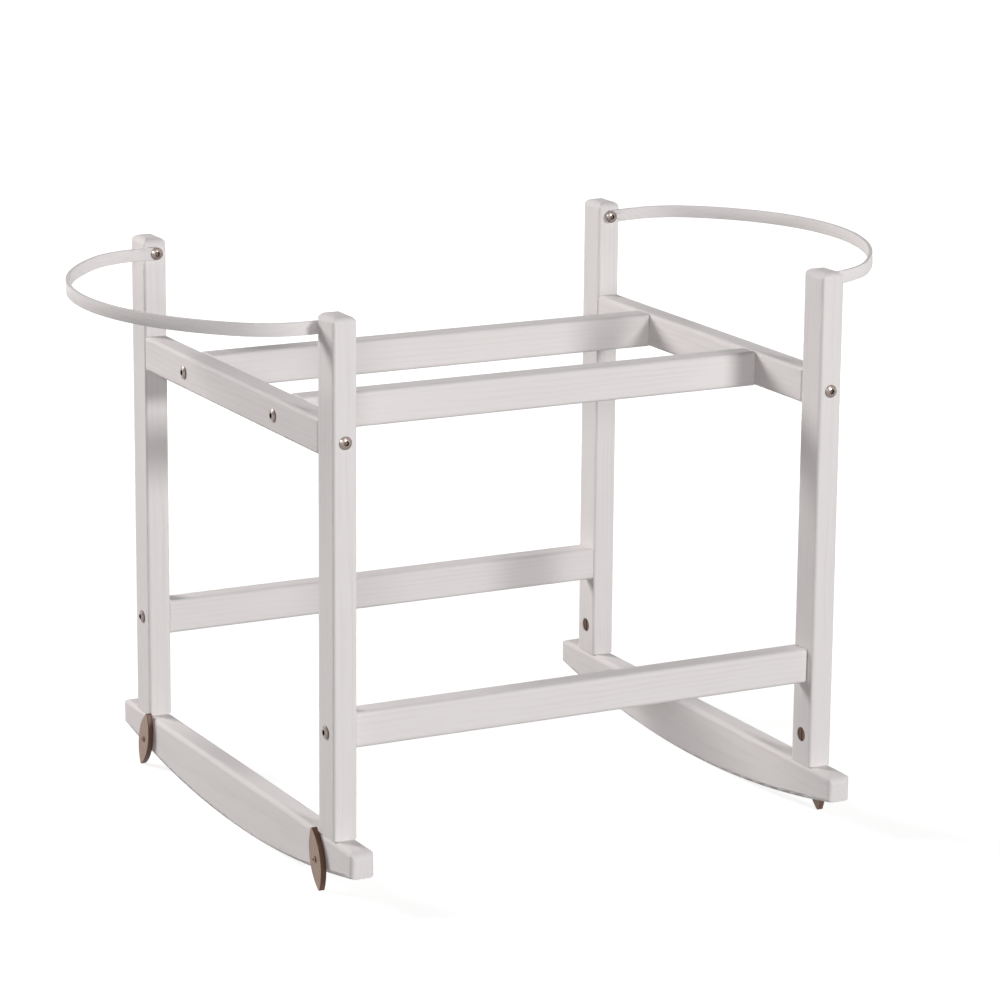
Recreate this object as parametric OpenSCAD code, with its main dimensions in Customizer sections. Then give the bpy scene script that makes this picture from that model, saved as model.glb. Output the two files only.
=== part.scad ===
// Rocking stand for a moses basket.
// A knock-down frame of painted timber: four legs on two rockers, tied by side rails and end rails,
// with two rails across the middle that carry the basket and a bent-wood hoop round each end.
// X runs along the stand, Y from front to back and Z up, with the floor at zero.
// Each corner is worked out at the back right and mirrored to the other three.

/* [Frame] */
// Length over the legs' outer faces
frame_length = 563; // [500:1:700]
// Depth over the legs' front and back faces
frame_depth = 497; // [440:1:600]
// Height of the legs' tops above the floor
stand_height = 571; // [520:1:700]

/* [Timber] */
// Thickness of the timber stock
stock_thick = 25; // [22:0.5:32]
// Width of the timber stock
stock_wide = 36; // [34:0.5:48]
// Radius on the long edges of the rails
rail_round = 4; // [1:0.5:8]
// Radius on the upright edges of the legs
leg_round = 3; // [1:0.5:8]
// Radius over the legs' tops
leg_top_round = 8; // [1:0.5:10]
// Radius on the cut ends of the rails
end_ease = 1.5; // [0.5:0.25:3]

/* [Rails] */
// Height of the basket rails' and end rails' tops above the floor
seat_height = 468; // [400:1:500]
// Distance between the centre lines of the two basket rails
basket_rail_gap = 221; // [120:1:290]
// Height of the lower rails' tops above the floor
lower_rail_height = 180; // [150:1:300]
// How far the lower rails' outer faces lie behind the legs' faces
lower_rail_inset = 9.5; // [0:0.5:11]

/* [Rockers] */
// How far each rocker reaches past the legs at the front and the back
rocker_overhang = 39; // [15:1:60]
// Height of the rockers' flat tops above the floor
rocker_height = 56; // [50:1:80]
// Radius of the rockers' curved undersides
rocker_radius = 1430; // [1200:10:2500]
// Radius on the rockers' edges
rocker_round = 5; // [1:0.5:8]
// Radius over the rockers' top corners at the front and the back
rocker_end_round = 9; // [5:0.5:15]

/* [Hoops] */
// How far the left hoop reaches past the legs' outer faces
hoop_reach_left = 151; // [110:0.5:190]
// How far the right hoop, sprung a little wider and shorter, reaches past the legs' outer faces
hoop_reach_right = 141.5; // [110:0.5:190]
// Straight length of hoop past the legs' outer faces, before the bend
hoop_straight = 7.5; // [1:0.5:20]
// Radius of the tighter side bends, as a share of how far the bend reaches
hoop_bend_share = 0.62; // [0.5:0.01:0.9]
// Height of the hoop band
hoop_high = 13; // [10:0.5:20]
// Thickness of the hoop band
hoop_thick = 4; // [3:0.25:6]
// Depth of the hoop's middle below the legs' tops
hoop_drop = 15.5; // [12:0.5:40]
// Angle that the left hoop is turned up on its bolts
hoop_turn_left = -0.5; // [-4:0.1:4]
// Angle that the right hoop is turned up on its bolts
hoop_turn_right = 3; // [-4:0.1:4]

/* [Rocker stops] */
// Length of each stop from tip to tip
stop_length = 62; // [56:1:70]
// Width of each stop across its middle
stop_wide = 25; // [18:0.5:32]
// Width of the blunt tips
stop_tip_wide = 2; // [1:0.25:6]
// Thickness of each stop
stop_thick = 6; // [4:0.5:10]
// Lean of a stop from upright when it is set to lock the rocker
stop_lean = 16.5; // [8:0.5:30]
// Lean of a stop from upright when it is swung clear of the floor
stop_clear_lean = 90; // [60:1:90]
// Distance of the stops' pivots from the legs' centre lines, towards the middle
stop_offset = 13; // [12:0.5:40]
// Gap left under the tips when the stops are set
stop_floor_gap = 0.3; // [0.1:0.1:2]
// Running gap at each side of a stop
stop_side_gap = 0.2; // [0.1:0.05:0.5]
// Diameter of the pivot screws
pivot_d = 4; // [3:0.5:5]
// Radial clearance of the pivot screws in the stops
pivot_clear = 0.05; // [0.02:0.01:0.1]
// Depth of the pivot screws in the rockers
pivot_depth = 16; // [10:0.5:20]
// Diameter of the pivot screws' heads
pivot_head_d = 6; // [5:0.5:11]
// Height of the pivot screws' heads
pivot_head_high = 1.6; // [1.2:0.1:4]

/* [Bolts] */
// Diameter of the bolts' shanks
bolt_d = 6; // [5:0.5:7]
// Diameter of the bolts' domed heads
bolt_head_d = 13; // [11:0.5:16]
// Height of the bolts' heads at the middle of the dome
bolt_head_high = 3; // [2.5:0.1:5]
// Height of the straight rim under the dome
bolt_rim_high = 1; // [0.5:0.1:2]
// Width of the hexagon sockets across their corners
socket_wide = 5.8; // [3.5:0.1:7]
// Depth of the hexagon sockets
socket_deep = 2; // [1:0.1:2.4]
// Length of bolt left past its nut
bolt_past = 2; // [1:0.5:4]
// Wood left between a rocker's bolt heads and its flat top
rocker_bolt_cover = 18; // [12:1:24]

/* [Nuts] */
// Diameter of the barrel nuts in the rails
rail_nut_d = 10; // [9:0.5:12]
// Length of the barrel nuts in the rails
rail_nut_length = 16; // [12:0.5:18]
// Distance of the barrel nuts from the rails' ends
rail_nut_setback = 30; // [26:1:45]
// Diameter of the barrel nuts in the legs
leg_nut_d = 15; // [11:0.5:17]
// Depth of the legs' barrel nuts below the legs' inner faces
leg_nut_sink = 1; // [0.5:0.25:3]
// Wood left between the legs' barrel nuts and the legs' outer faces
leg_nut_cover = 6; // [4:0.5:7]
// Height of the legs' barrel nuts above the rockers' tops
leg_nut_rise = 31; // [30:1:60]
// Width and depth of the screwdriver slots in the barrel nuts
nut_slot = 1.4; // [1:0.1:2]
// Diameter of the threaded inserts behind the hoops
insert_d = 9; // [8.5:0.5:11]
// Length of the threaded inserts
insert_length = 13; // [9:0.5:18]

/* [Dowels] */
// Diameter of the wooden dowels that stop the joints turning
dowel_d = 6; // [5:0.5:7]
// Length of the wooden dowels
dowel_length = 30; // [16:1:34]
// Distance of each dowel from the bolt beside it
dowel_offset = 11; // [10:0.5:12]

/* [Clearances] */
// Radial clearance of the bolts in the timber
bolt_clear = 0.3; // [0.1:0.05:0.5]
// Radial clearance of the bolts and screws in what they thread into
thread_clear = 0.05; // [0.02:0.01:0.1]
// Radial clearance of the nuts, inserts and dowels in their holes
seat_clear = 0.1; // [0.05:0.01:0.2]
// Extra depth at the bottom of blind holes
blind_clear = 0.5; // [0.2:0.1:1]

/* [Hidden] */

// How far cuts run past the faces they start from
overrun = 1;
// How far an outline that rounds one edge stands off the faces that it leaves alone
standoff = 0.02;
// Facets of small rounds, of the hoops' bends and of the rockers' long curves
$fn = 64;
bend_facets = 240;
rocker_facets = 1080;

// The legs' faces and centre lines, at the back right corner
leg_outer_x = frame_length / 2;
leg_outer_y = frame_depth / 2;
leg_x = leg_outer_x - stock_thick / 2;
leg_y = leg_outer_y - stock_wide / 2;
leg_inner_x = leg_outer_x - stock_thick;
leg_inner_y = leg_outer_y - stock_wide;

// The legs' tops, never so low that the hoops would meet the end rails
leg_top_z = max(stand_height, seat_height + hoop_drop + stock_wide);
leg_length = leg_top_z - rocker_height;

// The rails' centre lines
seat_rail_z = seat_height - stock_wide / 2;
basket_rail_y = basket_rail_gap / 2;
lower_rail_z = lower_rail_height - stock_wide / 2;
lower_rail_y = leg_outer_y - lower_rail_inset - stock_thick / 2;
// How far the lower rails' bolts, which run through the middle of the legs, lie off the rails' own middle
lower_bolt_shift = leg_y - lower_rail_y;
side_rail_length = 2 * leg_inner_x;
end_rail_length = 2 * leg_inner_y;

// The rockers
rocker_length = frame_depth + 2 * rocker_overhang;
rocker_sweep = 2 * asin(rocker_length / rocker_radius);
rocker_bolt_z = rocker_height - rocker_bolt_cover;

// The hoops' bolts, and where their bends start
hoop_z = leg_top_z - hoop_drop;
hoop_bend_x = leg_outer_x + hoop_straight;

// The stops: two arcs meeting at blunt tips, the lower tip just clear of the floor
stop_reach = stop_length / 2;
stop_arc_shift = (stop_reach ^ 2 - stop_wide ^ 2 / 4) / (stop_wide - stop_tip_wide);
stop_arc_r = stop_arc_shift + stop_wide / 2;
stop_tip_angle = asin(stop_tip_wide / stop_length);
stop_y = leg_y - stop_offset;
stop_z = stop_reach * cos(stop_lean - stop_tip_angle) + stop_floor_gap;
stop_inner_x = leg_outer_x + stop_side_gap;
pivot_seat_x = stop_inner_x + stop_thick + stop_side_gap;
pivot_length = pivot_seat_x - leg_outer_x + pivot_depth;
recess_wide = pivot_head_d / 5;
recess_long = pivot_head_d / 2;
recess_deep = pivot_head_high / 2;

// Lengths of the bolts under their heads
rail_bolt_reach = rail_nut_setback + rail_nut_d / 2 + bolt_past;
end_rail_bolt_length = stock_wide + rail_bolt_reach;
side_rail_bolt_length = stock_thick + rail_bolt_reach;
leg_nut_z = rocker_height + leg_nut_rise;
leg_nut_length = stock_thick - leg_nut_sink - leg_nut_cover;
rocker_bolt_length = rocker_bolt_cover + leg_nut_rise + leg_nut_d / 2 + bolt_past;
hoop_bolt_length = hoop_thick + insert_length;

// Diameters of holes
bolt_hole_d = bolt_d + 2 * bolt_clear;
thread_hole_d = bolt_d + 2 * thread_clear;
dowel_hole_d = dowel_d + 2 * seat_clear;
rail_nut_hole_d = rail_nut_d + 2 * seat_clear;
leg_nut_hole_d = leg_nut_d + 2 * seat_clear;
insert_hole_d = insert_d + 2 * seat_clear;
head_hole_d = bolt_head_d + 2 * bolt_clear;

// Depths of blind holes
dowel_hole_deep = dowel_length / 2 + blind_clear;
rail_bolt_hole_deep = rail_bolt_reach + blind_clear;
rail_nut_hole_deep = stock_wide / 2 + rail_nut_length / 2;
leg_nut_hole_deep = leg_nut_sink + leg_nut_length;
leg_bolt_hole_deep = leg_nut_rise + leg_nut_d / 2 + bolt_past + blind_clear;

// Each of these turns a piece that points up so that it points the way it is named
module facing_right() { rotate([0, 90, 0]) children(); }
module facing_left() { rotate([0, -90, 0]) children(); }
module facing_back() { rotate([-90, 0, 0]) children(); }
module facing_front() { rotate([90, 0, 0]) children(); }
module facing_down() { rotate([180, 0, 0]) children(); }

// A piece at the back right, moved to the corner that the two signs name
module at_corner(x_side, y_side) {
    mirror([x_side < 0 ? 1 : 0, 0, 0])
        mirror([0, y_side < 0 ? 1 : 0, 0])
            children();
}

module at_all_corners() {
    for (x_side = [-1, 1], y_side = [-1, 1])
        at_corner(x_side, y_side) children();
}

// A blind hole down from the top face of what it is cut from
module bore(diameter, depth) {
    translate([0, 0, -depth]) cylinder(d = diameter, h = depth + overrun);
}

module rounded_rect(wide, high, round) {
    square([wide - 2 * round, high], center = true);
    square([wide, high - 2 * round], center = true);
    for (x_side = [-1, 1], y_side = [-1, 1])
        translate([x_side * (wide / 2 - round), y_side * (high / 2 - round)])
            circle(r = round);
}

// A rail along X, with rounded long edges and eased ends
module rail_blank(length) {
    intersection() {
        facing_right() rotate([0, 0, 90])
            linear_extrude(length + overrun, center = true)
                rounded_rect(stock_thick, stock_wide, rail_round);
        facing_front()
            linear_extrude(stock_thick + overrun, center = true)
                rounded_rect(length, stock_wide + standoff, end_ease);
        linear_extrude(stock_wide + overrun, center = true)
            rounded_rect(length + standoff, stock_thick + standoff, end_ease);
    }
}

// Bolt, nut and dowel holes in the right-hand end of a rail along X
module rail_end_holes(length) {
    translate([length / 2, 0, 0]) facing_right() {
        bore(bolt_hole_d, rail_bolt_hole_deep);
        translate([-dowel_offset, 0, 0]) bore(dowel_hole_d, dowel_hole_deep);
    }
    translate([length / 2 - rail_nut_setback, 0, -stock_wide / 2])
        facing_down() bore(rail_nut_hole_d, rail_nut_hole_deep);
}

// A rail with holes in both ends, which lie off the middle of its thickness by the shift
module bored_rail(length, shift = 0) {
    difference() {
        rail_blank(length);
        for (x_side = [-1, 1])
            at_corner(x_side, 1) translate([0, shift, 0]) rail_end_holes(length);
    }
}

// A leg with its top rounded over on all four sides
module leg_blank() {
    translate([leg_x, leg_y, rocker_height]) intersection() {
        linear_extrude(leg_length + overrun) rounded_rect(stock_thick, stock_wide, leg_round);
        facing_front()
            linear_extrude(stock_wide + overrun, center = true)
                rounded_rect(stock_thick + standoff, 2 * leg_length, leg_top_round);
        facing_right() rotate([0, 0, 90])
            linear_extrude(stock_thick + overrun, center = true)
                rounded_rect(stock_wide + standoff, 2 * leg_length + standoff, leg_top_round);
    }
}

module leg_holes() {
    // End rail: bolt right through from the back, dowel from the inside
    translate([leg_x, leg_outer_y, seat_rail_z]) facing_back() bore(bolt_hole_d, stock_wide + overrun);
    translate([leg_x, leg_inner_y, seat_rail_z + dowel_offset])
        facing_front() bore(dowel_hole_d, dowel_hole_deep);
    // Lower rail: bolt right through from the side, dowel from the inside
    translate([leg_outer_x, leg_y, lower_rail_z])
        facing_right() bore(bolt_hole_d, stock_thick + overrun);
    translate([leg_inner_x, leg_y, lower_rail_z + dowel_offset])
        facing_left() bore(dowel_hole_d, dowel_hole_deep);
    // Rocker: bolt and dowel from below, nut from the inside
    translate([leg_x, leg_y, rocker_height]) facing_down() bore(bolt_hole_d, leg_bolt_hole_deep);
    translate([leg_x, leg_y - dowel_offset, rocker_height])
        facing_down() bore(dowel_hole_d, dowel_hole_deep);
    translate([leg_inner_x, leg_y, leg_nut_z]) facing_left() bore(leg_nut_hole_d, leg_nut_hole_deep);
    // Hoop: threaded insert from the inside
    translate([leg_x, leg_inner_y, hoop_z])
        facing_front() bore(insert_hole_d, insert_length + blind_clear);
}

module leg(x_side, y_side) {
    color("whitesmoke") at_corner(x_side, y_side) difference() {
        leg_blank();
        leg_holes();
    }
}

// A rocker cut from a ring of the underside's radius, with a flat top and rounded edges
module rocker_blank() {
    ring_deep = rocker_height + stock_wide;
    translate([leg_x, 0, 0]) intersection() {
        translate([0, 0, rocker_radius]) facing_right() rotate([0, 0, -rocker_sweep / 2])
            rotate_extrude(angle = rocker_sweep, $fn = rocker_facets)
                translate([rocker_radius - ring_deep / 2, 0])
                    rounded_rect(ring_deep, stock_thick, rocker_round);
        facing_front()
            linear_extrude(rocker_length + overrun, center = true)
                rounded_rect(stock_thick + standoff, 2 * rocker_height, rocker_round);
        linear_extrude(2 * rocker_height + overrun, center = true)
            rounded_rect(stock_thick + 2 * standoff, rocker_length, rocker_round);
        facing_right() rotate([0, 0, 90])
            linear_extrude(stock_thick + overrun, center = true)
                rounded_rect(rocker_length + standoff, 2 * rocker_height + standoff, rocker_end_round);
    }
}

module rocker_holes() {
    translate([leg_x, leg_y, rocker_height]) bore(bolt_hole_d, rocker_height);
    translate([leg_x, leg_y - dowel_offset, rocker_height]) bore(dowel_hole_d, dowel_hole_deep);
    translate([leg_x, leg_y, 0]) facing_down() bore(head_hole_d, rocker_bolt_z);
    translate([leg_outer_x, stop_y, stop_z])
        facing_right() bore(pivot_d + 2 * thread_clear, pivot_depth + blind_clear);
}

module rocker(x_side) {
    color("whitesmoke") at_corner(x_side, 1) difference() {
        rocker_blank();
        for (y_side = [-1, 1])
            at_corner(1, y_side) rocker_holes();
    }
}

module lower_rail(y_side) {
    color("whitesmoke")
        translate([0, y_side * lower_rail_y, lower_rail_z])
            bored_rail(side_rail_length, y_side * lower_bolt_shift);
}

module basket_rail(y_side) {
    color("whitesmoke")
        translate([0, y_side * basket_rail_y, seat_rail_z])
            bored_rail(side_rail_length);
}

// An end rail, with a bolt hole and a dowel hole where each basket rail meets it
module end_rail(x_side) {
    color("whitesmoke") at_corner(x_side, 1) difference() {
        translate([leg_x, 0, seat_rail_z]) rotate([0, 0, 90]) bored_rail(end_rail_length);
        for (y_side = [-1, 1])
            at_corner(1, y_side) {
                translate([leg_outer_x, basket_rail_y, seat_rail_z])
                    facing_right() bore(bolt_hole_d, stock_thick + overrun);
                translate([leg_inner_x, basket_rail_y, seat_rail_z + dowel_offset])
                    facing_left() bore(dowel_hole_d, dowel_hole_deep);
            }
    }
}

// The area inside a hoop's outer face, or inside a line that runs parallel to it at the inset:
// a wide bend over the end between two tighter bends at the sides, tangent to both
module hoop_area(reach, inset, tail_x) {
    bend_reach = reach - hoop_straight;
    side_bend_r = bend_reach * hoop_bend_share;
    side_bend_y = leg_inner_y - side_bend_r;
    end_bend_r = (bend_reach ^ 2 + leg_inner_y ^ 2 - 2 * leg_inner_y * side_bend_r)
        / (2 * (bend_reach - side_bend_r));
    end_bend_x = hoop_bend_x + bend_reach - end_bend_r;
    bend_angle = atan2(side_bend_y, end_bend_r - bend_reach);
    half_wide = leg_inner_y - inset;
    tangent_y = side_bend_y + (side_bend_r - inset) * sin(bend_angle);
    translate([tail_x, -half_wide]) square([hoop_bend_x - tail_x, 2 * half_wide]);
    intersection() {
        translate([end_bend_x, 0]) circle(r = end_bend_r - inset, $fn = bend_facets);
        translate([hoop_bend_x, -tangent_y]) square([reach, 2 * tangent_y]);
    }
    intersection() {
        for (y_side = [-1, 1])
            translate([hoop_bend_x, y_side * side_bend_y])
                circle(r = side_bend_r - inset, $fn = bend_facets);
        translate([hoop_bend_x, -half_wide]) square([reach, 2 * half_wide]);
    }
}

// A bent band with rounded tails, level with its bolts, at the right-hand end
module hoop_band(reach) {
    tail_x = leg_x - hoop_high / 2;
    difference() {
        intersection() {
            linear_extrude(hoop_high, center = true) difference() {
                hoop_area(reach, 0, tail_x);
                hoop_area(reach, hoop_thick, tail_x - overrun);
            }
            translate([leg_x, 0, 0]) facing_front()
                linear_extrude(frame_depth, center = true) {
                    circle(d = hoop_high);
                    translate([0, -hoop_high / 2]) square([reach + stock_thick, hoop_high]);
                }
        }
        for (y_side = [-1, 1])
            at_corner(1, y_side)
                translate([leg_x, leg_inner_y, 0]) facing_back() bore(bolt_hole_d, hoop_thick + overrun);
    }
}

// A hoop, turned up or down on its two bolts
module end_hoop(x_side, reach, turn) {
    color("whitesmoke") at_corner(x_side, 1)
        translate([leg_x, 0, hoop_z]) rotate([0, -turn, 0])
            translate([-leg_x, 0, 0]) hoop_band(reach);
}

// A pointed oval that swings on the rocker's outer face and props on the floor.
// Its top leans towards the middle of the rocker.
module rocker_stop(x_side, y_side, lean) {
    color("sienna") at_corner(x_side, y_side)
        translate([stop_inner_x, stop_y, stop_z]) rotate([lean, 0, 0]) facing_right() difference() {
            linear_extrude(stop_thick) intersection() {
                translate([0, stop_arc_shift]) circle(r = stop_arc_r, $fn = bend_facets);
                translate([0, -stop_arc_shift]) circle(r = stop_arc_r, $fn = bend_facets);
                circle(r = stop_reach, $fn = bend_facets);
            }
            translate([0, 0, stop_thick]) bore(pivot_d + 2 * pivot_clear, stop_thick + overrun);
        }
}

// A screw with a low domed head and a cross recess, head upwards from its seat
module pivot_screw() {
    difference() {
        domed_head(pivot_head_d, pivot_head_high, pivot_head_high / 2);
        for (turn = [0, 90])
            rotate([0, 0, turn])
                translate([-recess_long / 2, -recess_wide / 2, pivot_head_high - recess_deep])
                    cube([recess_long, recess_wide, recess_deep + overrun]);
    }
    translate([0, 0, -pivot_length]) cylinder(d = pivot_d, h = pivot_length);
}

module stop_pivot_screws() {
    color("silver") at_all_corners()
        translate([pivot_seat_x, stop_y, stop_z]) facing_right() pivot_screw();
}

// A disc with a straight rim under a shallow dome
module domed_head(diameter, high, rim_high) {
    dome_high = high - rim_high;
    dome_r = (dome_high ^ 2 + diameter ^ 2 / 4) / (2 * dome_high);
    intersection() {
        cylinder(d = diameter, h = high);
        translate([0, 0, high - dome_r]) sphere(r = dome_r, $fn = bend_facets);
    }
}

// A bolt with a domed head and a hexagon socket, head upwards from its seat
module bolt(length) {
    difference() {
        domed_head(bolt_head_d, bolt_head_high, bolt_rim_high);
        translate([0, 0, bolt_head_high]) {
            translate([0, 0, -socket_deep]) cylinder(d = socket_wide, h = socket_deep + overrun, $fn = 6);
        }
    }
    translate([0, 0, -length]) cylinder(d = bolt_d, h = length);
}

module end_rail_bolts() {
    color("silver") at_all_corners()
        translate([leg_x, leg_outer_y, seat_rail_z]) facing_back() bolt(end_rail_bolt_length);
}

module basket_rail_bolts() {
    color("silver") at_all_corners()
        translate([leg_outer_x, basket_rail_y, seat_rail_z]) facing_right() bolt(side_rail_bolt_length);
}

module lower_rail_bolts() {
    color("silver") at_all_corners()
        translate([leg_outer_x, leg_y, lower_rail_z]) facing_right() bolt(side_rail_bolt_length);
}

module rocker_bolts() {
    color("silver") at_all_corners()
        translate([leg_x, leg_y, rocker_bolt_z]) facing_down() bolt(rocker_bolt_length);
}

module hoop_bolts() {
    color("silver") at_all_corners()
        translate([leg_x, leg_inner_y - hoop_thick, hoop_z]) facing_front() bolt(hoop_bolt_length);
}

// A barrel nut standing upright, with its thread across X, at the given height above its slotted lower end
module barrel_nut(diameter, length, thread_rise) {
    difference() {
        translate([0, 0, -thread_rise]) cylinder(d = diameter, h = length);
        facing_right() cylinder(d = thread_hole_d, h = diameter + overrun, center = true);
        translate([-diameter / 2 - overrun, -nut_slot / 2, -thread_rise - overrun])
            cube([diameter + 2 * overrun, nut_slot, nut_slot + overrun]);
    }
}

// A nut in the middle of a rail's width
module rail_nut() {
    barrel_nut(rail_nut_d, rail_nut_length, rail_nut_length / 2);
}

module end_rail_nuts() {
    color("dimgray") at_all_corners()
        translate([leg_x, leg_inner_y - rail_nut_setback, seat_rail_z])
            rotate([0, 0, 90]) rail_nut();
}

module basket_rail_nuts() {
    color("dimgray") at_all_corners()
        translate([leg_inner_x - rail_nut_setback, basket_rail_y, seat_rail_z]) rail_nut();
}

module lower_rail_nuts() {
    color("dimgray") at_all_corners()
        translate([leg_inner_x - rail_nut_setback, leg_y, lower_rail_z]) rail_nut();
}

module leg_nuts() {
    color("dimgray") at_all_corners()
        translate([leg_x, leg_y, leg_nut_z]) facing_right()
            barrel_nut(leg_nut_d, leg_nut_length, stock_thick / 2 - leg_nut_sink);
}

module hoop_inserts() {
    color("dimgray") at_all_corners()
        translate([leg_x, leg_inner_y, hoop_z]) facing_back() difference() {
            cylinder(d = insert_d, h = insert_length);
            translate([0, 0, insert_length]) bore(thread_hole_d, insert_length + overrun);
        }
}

module dowel() {
    cylinder(d = dowel_d, h = dowel_length, center = true);
}

module end_rail_dowels() {
    color("burlywood") at_all_corners()
        translate([leg_x, leg_inner_y, seat_rail_z + dowel_offset]) facing_back() dowel();
}

module basket_rail_dowels() {
    color("burlywood") at_all_corners()
        translate([leg_inner_x, basket_rail_y, seat_rail_z + dowel_offset]) facing_right() dowel();
}

module lower_rail_dowels() {
    color("burlywood") at_all_corners()
        translate([leg_inner_x, leg_y, lower_rail_z + dowel_offset]) facing_right() dowel();
}

module leg_dowels() {
    color("burlywood") at_all_corners()
        translate([leg_x, leg_y - dowel_offset, rocker_height]) dowel();
}

leg(-1, -1);  // leg_front_left
leg(1, -1);  // leg_front_right
leg(-1, 1);  // leg_back_left
leg(1, 1);  // leg_back_right
rocker(-1);  // rocker_left
rocker(1);  // rocker_right
lower_rail(-1);  // lower_rail_front
lower_rail(1);  // lower_rail_back
end_rail(-1);  // end_rail_left
end_rail(1);  // end_rail_right
basket_rail(-1);  // basket_rail_front
basket_rail(1);  // basket_rail_back
end_hoop(-1, hoop_reach_left, hoop_turn_left);  // end_hoop_left
end_hoop(1, hoop_reach_right, hoop_turn_right);  // end_hoop_right
rocker_stop(-1, -1, stop_lean);  // rocker_stop_front_left
rocker_stop(1, -1, stop_lean);  // rocker_stop_front_right
rocker_stop(-1, 1, stop_lean);  // rocker_stop_back_left
rocker_stop(1, 1, stop_clear_lean);  // rocker_stop_back_right
stop_pivot_screws();
end_rail_bolts();
basket_rail_bolts();
lower_rail_bolts();
rocker_bolts();
hoop_bolts();
end_rail_nuts();
basket_rail_nuts();
lower_rail_nuts();
leg_nuts();
hoop_inserts();
end_rail_dowels();
basket_rail_dowels();
lower_rail_dowels();
leg_dowels();
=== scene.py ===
import math
import bpy
from mathutils import Matrix, Vector


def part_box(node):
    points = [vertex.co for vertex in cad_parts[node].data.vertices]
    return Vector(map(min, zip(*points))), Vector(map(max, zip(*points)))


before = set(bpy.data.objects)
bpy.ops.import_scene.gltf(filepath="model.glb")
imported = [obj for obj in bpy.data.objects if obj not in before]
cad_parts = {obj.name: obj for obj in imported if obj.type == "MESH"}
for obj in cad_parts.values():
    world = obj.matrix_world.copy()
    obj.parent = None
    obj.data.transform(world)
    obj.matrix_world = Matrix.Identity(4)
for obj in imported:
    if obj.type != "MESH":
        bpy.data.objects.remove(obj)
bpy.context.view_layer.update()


# Rockers
# Each rocker is one thick board of white-painted softwood, sawn to a long curve underneath and
# rounded over along its edges. It carries a front and a back leg, and its grain runs from front
# to back.

def put(tree, kind, inputs=None, **settings):
    """Adds one node, with its settings, and fills its sockets with values or links."""
    node = tree.nodes.new(kind)
    for name, value in settings.items():
        setattr(node, name, value)
    for name, value in (inputs or {}).items():
        if isinstance(value, bpy.types.NodeSocket):
            tree.links.new(value, node.inputs[name])
        else:
            node.inputs[name].default_value = value
    return node


def calc(tree, operation, *values, **settings):
    """The result of one math node."""
    node = put(tree, "ShaderNodeMath", dict(enumerate(values)), operation=operation, **settings)
    return node.outputs[0]


def vector_calc(tree, operation, *values):
    """The result of one vector math node, which is a number for a length or a dot product."""
    node = put(tree, "ShaderNodeVectorMath", dict(enumerate(values)), operation=operation)
    return node.outputs["Value" if operation in ("LENGTH", "DOT_PRODUCT") else "Vector"]


def spread(tree, value, start=0.0, end=1.0, low=0.0, high=1.0, curve="LINEAR"):
    """Maps a value from the range start to end onto the range low to high, and holds its ends."""
    sockets = {"Value": value, "From Min": start, "From Max": end, "To Min": low, "To Max": high}
    return put(tree, "ShaderNodeMapRange", sockets, interpolation_type=curve).outputs[0]


def noise(tree, position, scale, **inputs):
    """Noise with its own scale along each axis, in features per metre."""
    stretched = vector_calc(tree, "MULTIPLY", position, scale)
    return put(tree, "ShaderNodeTexNoise", {"Vector": stretched, "Scale": 1, **inputs}).outputs[0]


def blend(tree, factor, first, second):
    """Goes from the first colour to the second."""
    node = put(tree, "ShaderNodeMix", {"Factor": factor, 6: first, 7: second}, data_type="RGBA")
    return node.outputs[2]


def new_group(name, inputs, outputs):
    """Starts a shader node group with named sockets, and gives its tree and its two ends."""
    tree = bpy.data.node_groups.new(name, "ShaderNodeTree")
    for label, kind, value in inputs:
        tree.interface.new_socket(label, in_out="INPUT", socket_type=kind).default_value = value
    for label, kind in outputs:
        tree.interface.new_socket(label, in_out="OUTPUT", socket_type=kind)
    return tree, tree.nodes.new("NodeGroupInput").outputs, tree.nodes.new("NodeGroupOutput").inputs


def timber_grain():
    """Growth rings and fibres of sawn timber. X of the position is along the grain, in metres."""
    waver_scale = (5, 30, 30)
    waver_depth = 0.012
    ring_stretch = (0.03, 1, 1)
    fibre_scale = (12, 620, 620)
    tree, given, result = new_group(
        "timber_grain",
        [("Position", "NodeSocketVector", (0, 0, 0)),
         ("Pith", "NodeSocketVector", (0, 0.02, -0.05)),
         ("Ring Spacing", "NodeSocketFloat", 0.004)],
        [("Rings", "NodeSocketFloat"), ("Fibres", "NodeSocketFloat")])
    waver = noise(tree, given["Position"], waver_scale, Detail=3)
    sway = calc(tree, "MULTIPLY", waver, waver_depth)
    from_pith = vector_calc(tree, "SUBTRACT", given["Position"], given["Pith"])
    across = vector_calc(tree, "MULTIPLY", from_pith, ring_stretch)
    reach = calc(tree, "ADD", vector_calc(tree, "LENGTH", across), sway)
    turn = calc(tree, "FRACT", calc(tree, "DIVIDE", reach, given["Ring Spacing"]))
    rise = spread(tree, turn, 0.35, 0.9, curve="SMOOTHSTEP")
    fall = spread(tree, turn, 0.92, 1.0, low=1.0, high=0.0, curve="SMOOTHSTEP")
    strand = noise(tree, given["Position"], fibre_scale, Detail=4, Roughness=0.6)
    tree.links.new(calc(tree, "MULTIPLY", rise, fall), result["Rings"])
    tree.links.new(spread(tree, strand, 0.32, 0.7), result["Fibres"])
    return tree


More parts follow.
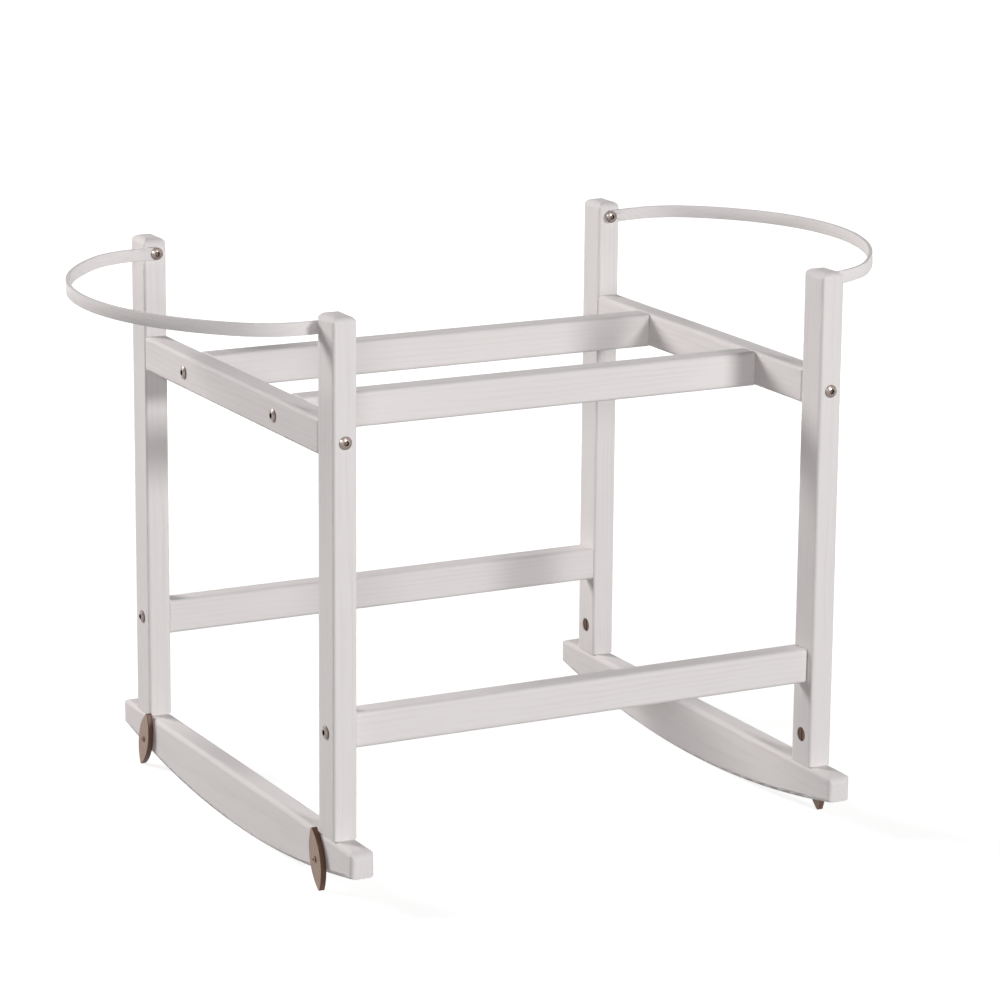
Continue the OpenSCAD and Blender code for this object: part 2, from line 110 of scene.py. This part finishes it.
def brushed_paint():
    """A thin coat of dull white paint that lets the grain show through where it is thinnest."""
    patch_scale = (9, 45, 45)
    stroke_scale = (4, 260, 260)
    fibre_share, show_through = 0.45, 0.6
    ring_height, fibre_height = -0.5, -0.3
    tree, given, result = new_group(
        "brushed_paint",
        [("Position", "NodeSocketVector", (0, 0, 0)),
         ("Rings", "NodeSocketFloat", 0.0),
         ("Fibres", "NodeSocketFloat", 0.0),
         ("Full Coat", "NodeSocketColor", (0.8, 0.78, 0.77, 1)),
         ("Thin Coat", "NodeSocketColor", (0.7, 0.67, 0.65, 1))],
        [("Colour", "NodeSocketColor"), ("Roughness", "NodeSocketFloat"),
         ("Height", "NodeSocketFloat")])
    bare = spread(tree, noise(tree, given["Position"], patch_scale, Detail=3), 0.35, 0.7)
    rings = calc(tree, "MULTIPLY", given["Rings"], bare)
    grain = calc(tree, "MULTIPLY_ADD", given["Fibres"], fibre_share, rings)
    thin = calc(tree, "MULTIPLY", grain, show_through, use_clamp=True)
    stroke = noise(tree, given["Position"], stroke_scale, Detail=2)
    sunk = calc(tree, "MULTIPLY_ADD", given["Rings"], ring_height, stroke)
    level = calc(tree, "MULTIPLY_ADD", given["Fibres"], fibre_height, sunk)
    tree.links.new(blend(tree, thin, given["Full Coat"], given["Thin Coat"]), result["Colour"])
    tree.links.new(spread(tree, thin, low=0.66, high=0.8), result["Roughness"])
    tree.links.new(level, result["Height"])
    return tree


grain_group = timber_grain()
paint_group = brushed_paint()
coat_white = (0.806, 0.774, 0.769, 1)
coat_thin = (0.745, 0.708, 0.700, 1)
paint_gloss = 0.18
paint_depth = 0.0003


def new_material(node, finish):
    """Starts a material in a node's slot, and gives its tree and its Principled shader."""
    material = bpy.data.materials.new(f"{node}_{finish}")
    material.use_nodes = True
    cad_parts[node].material_slots[0].material = material
    return material.node_tree, material.node_tree.nodes["Principled BSDF"]


def dress(tree, shader, colour, roughness):
    """Links what changes over the surface to the shader."""
    tree.links.new(colour, shader.inputs["Base Color"])
    tree.links.new(roughness, shader.inputs["Roughness"])


def roughen(tree, shader, height, strength, depth, **settings):
    """Raises fine relief on the surface."""
    sockets = {"Strength": strength, "Distance": depth, "Height": height}
    bump = put(tree, "ShaderNodeBump", sockets, **settings)
    tree.links.new(bump.outputs[0], shader.inputs["Normal"])


def from_centre(tree, centre):
    """Position on a piece, measured from its centre."""
    place = put(tree, "ShaderNodeTexCoord")
    return vector_calc(tree, "SUBTRACT", place.outputs["Object"], centre)


def along_grain(tree, centre, axis):
    """Position from a piece's centre, with its grain axis turned to X."""
    split = put(tree, "ShaderNodeSeparateXYZ", {0: from_centre(tree, centre)}).outputs
    order = {"X": (0, 1, 2), "Y": (1, 2, 0), "Z": (2, 0, 1)}[axis]
    return put(tree, "ShaderNodeCombineXYZ", dict(enumerate(split[i] for i in order))).outputs[0]


def paint_wood(tree, shader, position, pith, spacing, relief):
    """Coats wood with white paint, over the rings and fibres that the position runs along."""
    grain = put(tree, "ShaderNodeGroup", {"Position": position, "Pith": pith,
                                          "Ring Spacing": spacing}, node_tree=grain_group)
    coat = put(tree, "ShaderNodeGroup", {"Position": position, "Rings": grain.outputs["Rings"],
                                         "Fibres": grain.outputs["Fibres"],
                                         "Full Coat": coat_white, "Thin Coat": coat_thin},
               node_tree=paint_group)
    shader.inputs["Specular IOR Level"].default_value = paint_gloss
    dress(tree, shader, coat.outputs["Colour"], coat.outputs["Roughness"])
    roughen(tree, shader, coat.outputs["Height"], relief, paint_depth)


def paint_timber(node, axis, pith):
    """Gives one straight timber its coat of paint, with its own grain underneath."""
    low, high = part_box(node)
    tree, shader = new_material(node, "paint")
    position = along_grain(tree, (low + high) / 2, axis)
    paint_wood(tree, shader, position, pith, spacing=0.0045, relief=0.35)


paint_timber("rocker_left", "Y", pith=(0, 0.012, 0.06))
paint_timber("rocker_right", "Y", pith=(0, -0.018, 0.055))

underside_radius = 1.43
rocker_round = 0.005


def true_lower_edges(node):
    """Sets the long rounds under a rocker on their true curve, which its own mesh cuts across."""
    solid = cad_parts[node]
    low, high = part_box(node)
    middle = (low.x + high.x) / 2
    flat = (high.x - low.x) / 2 - rocker_round
    core_radius = underside_radius - rocker_round
    tree = bpy.data.node_groups.new(f"{node}_lower_edges", "GeometryNodeTree")
    tree.interface.new_socket("Board", in_out="INPUT", socket_type="NodeSocketGeometry")
    tree.interface.new_socket("Board", in_out="OUTPUT", socket_type="NodeSocketGeometry")

    # The mesh is split finer, and its shading kept.
    kept = put(tree, "GeometryNodeCaptureAttribute", domain="CORNER")
    kept.capture_items.new("VECTOR", "Shading")
    tree.links.new(put(tree, "NodeGroupInput").outputs["Board"], kept.inputs["Geometry"])
    tree.links.new(put(tree, "GeometryNodeInputNormal").outputs["Normal"], kept.inputs["Shading"])
    finer = put(tree, "GeometryNodeSubdivideMesh", {"Mesh": kept.outputs["Geometry"], "Level": 2})

    # The core of a round runs inside the edge, one radius from its surface.
    place = put(tree, "GeometryNodeInputPosition").outputs["Position"]
    x, y, z = put(tree, "ShaderNodeSeparateXYZ", {0: place}).outputs
    side = calc(tree, "SUBTRACT", x, middle)
    core_x = calc(tree, "MULTIPLY_ADD", calc(tree, "SIGN", side), flat, middle)
    hub = put(tree, "ShaderNodeCombineXYZ", {0: core_x, 2: underside_radius}).outputs[0]
    drop = calc(tree, "SUBTRACT", z, underside_radius)
    spoke = put(tree, "ShaderNodeCombineXYZ", {1: y, 2: drop}).outputs[0]
    core = vector_calc(tree, "MULTIPLY_ADD", vector_calc(tree, "NORMALIZE", spoke),
                       (core_radius,) * 3, hub)
    outward = vector_calc(tree, "NORMALIZE", vector_calc(tree, "SUBTRACT", place, core))
    true_place = vector_calc(tree, "MULTIPLY_ADD", outward, (rocker_round,) * 3, core)

    # Only the rounds move, as far as the board's end corners.
    aside = calc(tree, "GREATER_THAN", calc(tree, "ABSOLUTE", side), flat)
    below = calc(tree, "GREATER_THAN", vector_calc(tree, "LENGTH", spoke), core_radius)
    between = calc(tree, "LESS_THAN", calc(tree, "ABSOLUTE", y), high.y - rocker_round)
    chosen = calc(tree, "MULTIPLY", calc(tree, "MULTIPLY", aside, below), between)
    moved = put(tree, "GeometryNodeSetPosition", {"Geometry": finer.outputs["Mesh"],
                                                  "Selection": chosen, "Position": true_place})
    shaded = put(tree, "GeometryNodeSetMeshNormal", {"Mesh": moved.outputs["Geometry"]},
                 mode="FREE", domain="CORNER")
    tree.links.new(kept.outputs["Shading"], shaded.inputs["Custom Normal"])
    put(tree, "NodeGroupOutput", {"Board": shaded.outputs["Mesh"]})
    solid.modifiers.new("lower_edges", "NODES").node_group = tree


true_lower_edges("rocker_left")
true_lower_edges("rocker_right")


# Legs
# Four upright posts of the same painted stock, with their long edges eased and their tops rounded
# over. Each stands on a rocker, on a dowel and a bolt that comes up from below, and its grain runs
# upright.

paint_timber("leg_front_left", "Z", pith=(0.3, 0.03, 0.035))
paint_timber("leg_front_right", "Z", pith=(-0.2, -0.025, 0.04))
paint_timber("leg_back_left", "Z", pith=(0.1, 0.02, -0.045))
paint_timber("leg_back_right", "Z", pith=(-0.4, -0.03, -0.04))


# Lower rails
# Two straight rails that tie the legs together low down, at the front and the back.
# Each end has a dowel and a bolt with a barrel nut in the rail.

paint_timber("lower_rail_front", "X", pith=(0.5, 0.025, -0.05))
paint_timber("lower_rail_back", "X", pith=(-0.6, 0.02, -0.06))


# End rails
# Two rails from the front legs to the back legs, one at each end, level with the basket.
# They are bolted through the legs, and the basket rails are bolted to them.

paint_timber("end_rail_left", "Y", pith=(0.4, 0.04, 0.03))
paint_timber("end_rail_right", "Y", pith=(-0.3, -0.045, 0.028))


# Basket rails
# Two rails across the middle of the stand that carry the basket's base.
# Their tops lie level with the end rails, which hold them with a bolt and a dowel at each end.

paint_timber("basket_rail_front", "X", pith=(0.2, 0.03, -0.055))
paint_timber("basket_rail_back", "X", pith=(-0.5, 0.028, -0.05))


# Hoops
# A thin flat band of bent wood round each end, painted as the timbers are, which keeps the
# basket's ends in. It is bolted to the inner faces of a front and a back leg, and its grain
# follows the bend.

def paint_hoop(node):
    """Paints a bent band, with its grain measured round the bend."""
    low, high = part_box(node)
    outer = low.x if abs(low.x) > abs(high.x) else high.x
    bend_radius = (high.y - low.y) / 2
    bend_centre = (outer - math.copysign(bend_radius, outer), 0, (low.z + high.z) / 2)
    tree, shader = new_material(node, "paint")
    local = from_centre(tree, bend_centre)
    split = put(tree, "ShaderNodeSeparateXYZ", {0: local}).outputs
    arc = calc(tree, "MULTIPLY", calc(tree, "ARCTAN2", split[1], split[0]), bend_radius)
    band = put(tree, "ShaderNodeCombineXYZ", {0: arc, 1: vector_calc(tree, "LENGTH", local),
                                              2: split[2]}).outputs[0]
    paint_wood(tree, shader, band, pith=(0, 0.1, -0.08), spacing=0.003, relief=0.3)


def ease_edges(node, width):
    """Breaks the sharp edges of a solid, which the real piece loses in sanding and painting."""
    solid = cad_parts[node]
    weld = solid.modifiers.new("joined_corners", "WELD")
    weld.merge_threshold = 0.00001
    ease = solid.modifiers.new("eased_edges", "BEVEL")
    ease.width = width
    ease.segments = 2
    ease.limit_method = "ANGLE"
    ease.angle_limit = math.radians(40)


for hoop in ("end_hoop_left", "end_hoop_right"):
    paint_hoop(hoop)
    ease_edges(hoop, width=0.0006)


# Rocker stops
# Pointed ovals of brown varnished wood on the rockers' outer faces, each turning on a screw.
# Swung down they stand on the floor and lock the rocking. Their grain runs from tip to tip.

stop_brown = (0.385, 0.265, 0.203, 1)
stop_streak = (0.290, 0.188, 0.141, 1)
stop_edge = (0.140, 0.070, 0.046, 1)
set_lean, clear_lean = 16.5, 90


def stain_stop(node, lean):
    """Brown stained and varnished wood, darker on the edges that turn away from its broad faces."""
    fibre_share, streak_share = 0.6, 0.6
    low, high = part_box(node)
    tree, shader = new_material(node, "stain")
    upright = put(tree, "ShaderNodeVectorRotate", {"Vector": from_centre(tree, (low + high) / 2),
                                                   "Angle": math.radians(lean)},
                  rotation_type="X_AXIS")
    split = put(tree, "ShaderNodeSeparateXYZ", {0: upright.outputs[0]}).outputs
    along = put(tree, "ShaderNodeCombineXYZ", {0: split[2], 1: split[0], 2: split[1]}).outputs[0]
    grain = put(tree, "ShaderNodeGroup", {"Position": along, "Pith": (0, 0.03, 0.012),
                                          "Ring Spacing": 0.0022}, node_tree=grain_group).outputs
    figure = calc(tree, "MULTIPLY_ADD", grain["Fibres"], fibre_share, grain["Rings"])
    streak = calc(tree, "MULTIPLY", figure, streak_share, use_clamp=True)
    normal = put(tree, "ShaderNodeTexCoord").outputs["Normal"]
    facing = calc(tree, "ABSOLUTE", put(tree, "ShaderNodeSeparateXYZ", {0: normal}).outputs[0])
    edge = spread(tree, facing, 0.75, 0.98, low=1.0, high=0.0)
    colour = blend(tree, edge, blend(tree, streak, stop_brown, stop_streak), stop_edge)
    shader.inputs["Specular IOR Level"].default_value = 0.3
    dress(tree, shader, colour, spread(tree, streak, low=0.34, high=0.48))
    roughen(tree, shader, streak, strength=0.3, depth=0.0002, invert=True)


for stop, stop_lean in {"rocker_stop_front_left": set_lean, "rocker_stop_front_right": set_lean,
                        "rocker_stop_back_left": -set_lean,
                        "rocker_stop_back_right": -clear_lean}.items():
    stain_stop(stop, stop_lean)
    ease_edges(stop, width=0.0005)


# Bolts and pivot screws
# Plated steel furniture bolts with low domed heads and hexagon sockets, and the stops' bronzed
# pivot screws. The plating has fine scratches from handling. Painted shade darkens the sockets and
# hollows, and the heads' rims.

def socket_shade():
    """Masks of painted shade in sockets, hollows and round rims, and of fine scratches of handling.
    """
    scratch_scale = (900, 2600, 1700)
    tree, given, result = new_group(
        "socket_shade",
        [("Reach", "NodeSocketFloat", 0.003),
         ("Axis", "NodeSocketVector", (0, 0, 1))],
        [("Painted Shade", "NodeSocketFloat"), ("Scratches", "NodeSocketFloat")])
    # Painted shade: darker where the surface has little open space around it, in sockets and
    # hollows.
    open_sky = put(tree, "ShaderNodeAmbientOcclusion", {"Distance": given["Reach"]},
                   samples=8, only_local=True).outputs["AO"]
    sunk = spread(tree, open_sky, 0.6, 0.95, low=1.0, high=0.0)
    place = put(tree, "ShaderNodeTexCoord").outputs
    # Painted shade round the heads' rims, where the surface turns away from the bolt's axis.
    facing = calc(tree, "ABSOLUTE",
                  vector_calc(tree, "DOT_PRODUCT", place["Normal"], given["Axis"]))
    rim = spread(tree, facing, 0.82, 0.93, low=0.45, high=0.0)
    rub = noise(tree, place["Object"], scratch_scale, Detail=5, Roughness=0.7)
    tree.links.new(calc(tree, "MAXIMUM", sunk, rim), result["Painted Shade"])
    tree.links.new(spread(tree, rub, 0.35, 0.75), result["Scratches"])
    return tree


shade_group = socket_shade()
along_x, along_y, along_z = (1, 0, 0), (0, 1, 0), (0, 0, 1)


def plate_steel(node, axis, bright, dark, smooth, worn):
    """Plated steel scratched in handling, with painted shade in its sockets, slots and round its
    rims.
    """
    scratch_shade = 0.86
    scratched = tuple(scratch_shade * c for c in bright[:3]) + (1,)
    tree, shader = new_material(node, "plate")
    marks_and_shade = put(tree, "ShaderNodeGroup", {"Axis": axis}, node_tree=shade_group).outputs
    metal = blend(tree, marks_and_shade["Scratches"], bright, scratched)
    shader.inputs["Metallic"].default_value = 1.0
    # The painted shade mask darkens the metal towards the dark colour.
    dress(tree, shader, blend(tree, marks_and_shade["Painted Shade"], metal, dark),
          spread(tree, marks_and_shade["Scratches"], low=smooth, high=worn))
    roughen(tree, shader, marks_and_shade["Scratches"], strength=0.08, depth=0.00005)


for bolts, bolt_axis in {"end_rail_bolts": along_y, "basket_rail_bolts": along_x,
                         "lower_rail_bolts": along_x, "rocker_bolts": along_z,
                         "hoop_bolts": along_y}.items():
    plate_steel(bolts, bolt_axis, bright=(0.29, 0.243, 0.222, 1), dark=(0.055, 0.036, 0.028, 1),
                smooth=0.2, worn=0.36)
plate_steel("stop_pivot_screws", along_x, bright=(0.25, 0.175, 0.135, 1),
            dark=(0.12, 0.078, 0.06, 1), smooth=0.45, worn=0.6)


# Barrel nuts and inserts
# Short cross-drilled barrels of dark brown steel in holes in the rails and legs, turned by a slot
# in the end, and threaded inserts of dull zinc-plated steel in the legs behind the hoops.

for nuts, nut_axis in {"end_rail_nuts": along_z, "basket_rail_nuts": along_z,
                       "lower_rail_nuts": along_z, "leg_nuts": along_x}.items():
    plate_steel(nuts, nut_axis, bright=(0.13, 0.078, 0.057, 1), dark=(0.045, 0.024, 0.017, 1),
                smooth=0.42, worn=0.58)
plate_steel("hoop_inserts", along_y, bright=(0.34, 0.33, 0.32, 1), dark=(0.08, 0.07, 0.065, 1),
            smooth=0.4, worn=0.56)


# Dowels
# Plain hardwood pins beside each bolt that keep the joints from turning. They are hidden once the
# stand is put together, and left bare.

dowel_pale = (0.66, 0.50, 0.33, 1)
dowel_dark = (0.52, 0.37, 0.22, 1)


def bare_dowel(node, axis):
    """Bare pale hardwood with its grain along the pin."""
    low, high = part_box(node)
    tree, shader = new_material(node, "wood")
    position = along_grain(tree, (low + high) / 2, axis)
    grain = put(tree, "ShaderNodeGroup", {"Position": position, "Ring Spacing": 0.002},
                node_tree=grain_group).outputs
    dress(tree, shader, blend(tree, grain["Fibres"], dowel_pale, dowel_dark),
          spread(tree, grain["Rings"], low=0.6, high=0.75))


bare_dowel("end_rail_dowels", "Y")
bare_dowel("basket_rail_dowels", "X")
bare_dowel("lower_rail_dowels", "X")
bare_dowel("leg_dowels", "Z")


# Floor
# A plain white studio floor that runs past the picture on all sides. The camera sees it as white,
# and it keeps a faint shadow of the stand.

def seen_white(tree):
    """1 for the rays that show the surroundings, straight or in metal or glass, and else 0."""
    ray = put(tree, "ShaderNodeLightPath").outputs
    mirrored = calc(tree, "MAXIMUM", ray["Is Camera Ray"], ray["Is Glossy Ray"])
    return calc(tree, "MAXIMUM", mirrored, ray["Is Transmission Ray"])


floor_half = 20
floor_grey = (0.40, 0.395, 0.39, 1)
floor_mesh = bpy.data.meshes.new("studio_floor")
floor_mesh.from_pydata([(-floor_half, -floor_half, 0), (floor_half, -floor_half, 0),
                        (floor_half, floor_half, 0), (-floor_half, floor_half, 0)],
                       [], [(0, 1, 2, 3)])
studio_floor = bpy.data.objects.new("studio_floor", floor_mesh)
bpy.context.scene.collection.objects.link(studio_floor)
floor_paint = bpy.data.materials.new("white_floor")
floor_paint.use_nodes = True
floor_tree = floor_paint.node_tree
floor_tree.nodes.clear()
floor_reach = vector_calc(floor_tree, "LENGTH",
                          put(floor_tree, "ShaderNodeTexCoord").outputs["Object"])
floor_white = spread(floor_tree, floor_reach, 0.5, 2.0, low=0.82, high=1.0)
floor_level = calc(floor_tree, "MULTIPLY", seen_white(floor_tree), floor_white)
floor_lit = put(floor_tree, "ShaderNodeBsdfDiffuse", {"Color": floor_grey})
floor_glow = put(floor_tree, "ShaderNodeEmission", {"Strength": floor_level})
floor_sum = put(floor_tree, "ShaderNodeAddShader", {0: floor_lit.outputs[0],
                                                    1: floor_glow.outputs[0]})
put(floor_tree, "ShaderNodeOutputMaterial", {"Surface": floor_sum.outputs[0]})
floor_mesh.materials.append(floor_paint)


# Light
# A white studio room with two round soft lamps in front, a broad one behind the left end and two
# fainter ones low at the right.

room = bpy.data.worlds.new("white_room")
bpy.context.scene.world = room
room.use_nodes = True
room_tree = room.node_tree
room_tree.nodes.clear()
room_glow = put(room_tree, "ShaderNodeBackground", {"Color": (1, 1, 1, 1),
                                                    "Strength": seen_white(room_tree)})
put(room_tree, "ShaderNodeOutputWorld", {"Surface": room_glow.outputs[0]})
stand_middle = Vector((0, 0, 0.3))


def round_lamp(name, azimuth, elevation, distance, size, watts, tint=(1, 1, 1)):
    """A round soft lamp turned to the stand. Azimuth 0 is in front and 90 at the right end."""
    lamp = bpy.data.lights.new(name, "AREA")
    lamp.shape = "DISK"
    lamp.size = size
    lamp.energy = watts
    lamp.color = tint
    holder = bpy.data.objects.new(name, lamp)
    bpy.context.scene.collection.objects.link(holder)
    a, e = math.radians(azimuth), math.radians(elevation)
    towards = Vector((math.sin(a) * math.cos(e), -math.cos(a) * math.cos(e), math.sin(e)))
    holder.location = stand_middle + distance * towards
    holder.rotation_euler = towards.to_track_quat("Z", "Y").to_euler()


round_lamp("front_lamp", azimuth=14, elevation=18, distance=6.5, size=1.1, watts=226)
round_lamp("left_front_lamp", azimuth=-27, elevation=14, distance=12, size=2.5, watts=340)
round_lamp("right_lamp", azimuth=62, elevation=8, distance=12, size=11, watts=110)
round_lamp("right_back_lamp", azimuth=98, elevation=5, distance=8, size=3, watts=170)
round_lamp("back_left_lamp", azimuth=-142, elevation=27, distance=5.7, size=2.4, watts=295,
           tint=(1.0, 0.978, 0.974))


# Camera
# The photograph's viewpoint: in front and to the left of the stand, a little above it.

camera_place = (-1.81024, -3.51471, 1.28825)
camera_heading, camera_tilt, camera_roll = -27.579, 76.115, 0.5026
camera_data = bpy.data.cameras.new("viewpoint")
camera_data.sensor_width = 36
camera_data.lens = 141.60
camera = bpy.data.objects.new("viewpoint", camera_data)
bpy.context.scene.collection.objects.link(camera)
camera.matrix_world = (Matrix.Translation(camera_place)
                       @ Matrix.Rotation(math.radians(camera_heading), 4, "Z")
                       @ Matrix.Rotation(math.radians(camera_tilt), 4, "X")
                       @ Matrix.Rotation(math.radians(camera_roll), 4, "Z"))
bpy.context.scene.camera = camera
bpy.context.scene.view_settings.view_transform = "Standard"
